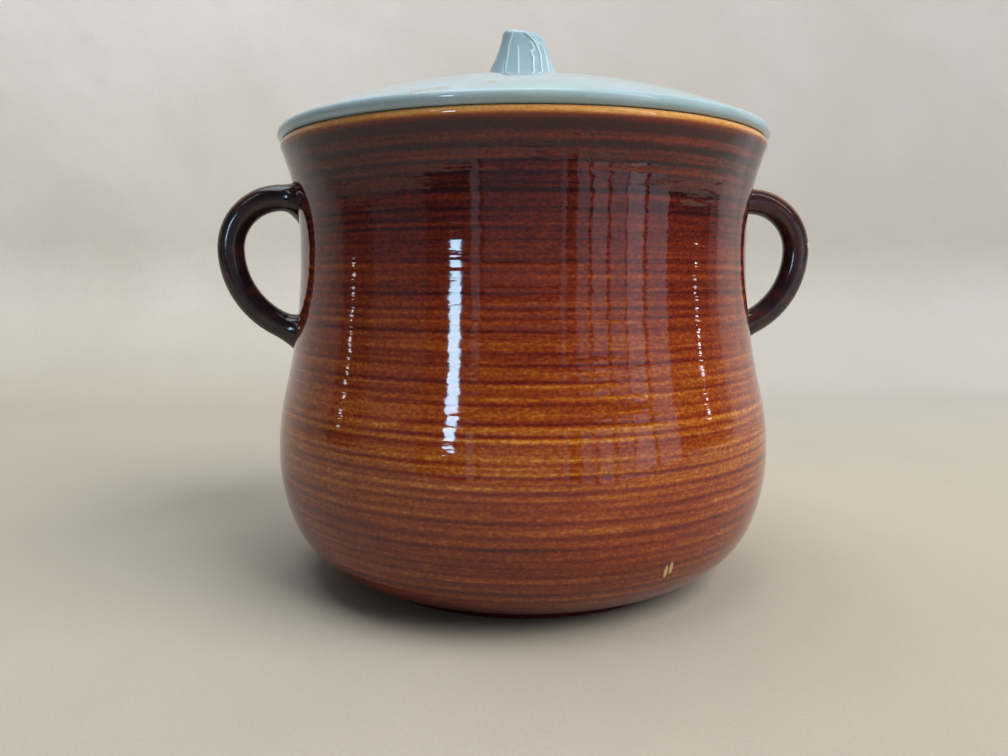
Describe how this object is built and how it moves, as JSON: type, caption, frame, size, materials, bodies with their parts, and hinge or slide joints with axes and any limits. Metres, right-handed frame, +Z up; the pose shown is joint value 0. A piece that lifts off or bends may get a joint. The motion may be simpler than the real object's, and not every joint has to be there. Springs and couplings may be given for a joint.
{
  "type": "stoneware bean pot",
  "caption": "Round stoneware bean pot with an S-curved wall, loop handles at its sides and a lift-off domed lid with a pinched knob, for baking and serving.",
  "frame": {"origin": "centre of the foot, on the surface that the pot stands on", "axes": "+Z up along the pot's axis, +X through the handles, +Y away from the side that the picture shows"},
  "size_m": [0.2786, 0.226, 0.2469],
  "materials": {
    "brown_glaze": "gloss, brushed brown over amber",
    "dark_glaze": "gloss, near-black brown",
    "aqua_glaze": "gloss, pale grey-blue"
  },
  "bodies": {
    "pot": {"pot_body": "brown_glaze", "handle_left": "dark_glaze", "handle_right": "dark_glaze"},
    "lid": {"lid": "aqua_glaze", "lid_knob": "aqua_glaze"}
  },
  "joints": [
    {"name": "lid_lift", "type": "slide", "parent": "pot", "child": "lid", "axis": [0, 0, 1], "range_m": [0, 0.12]}
  ]
}
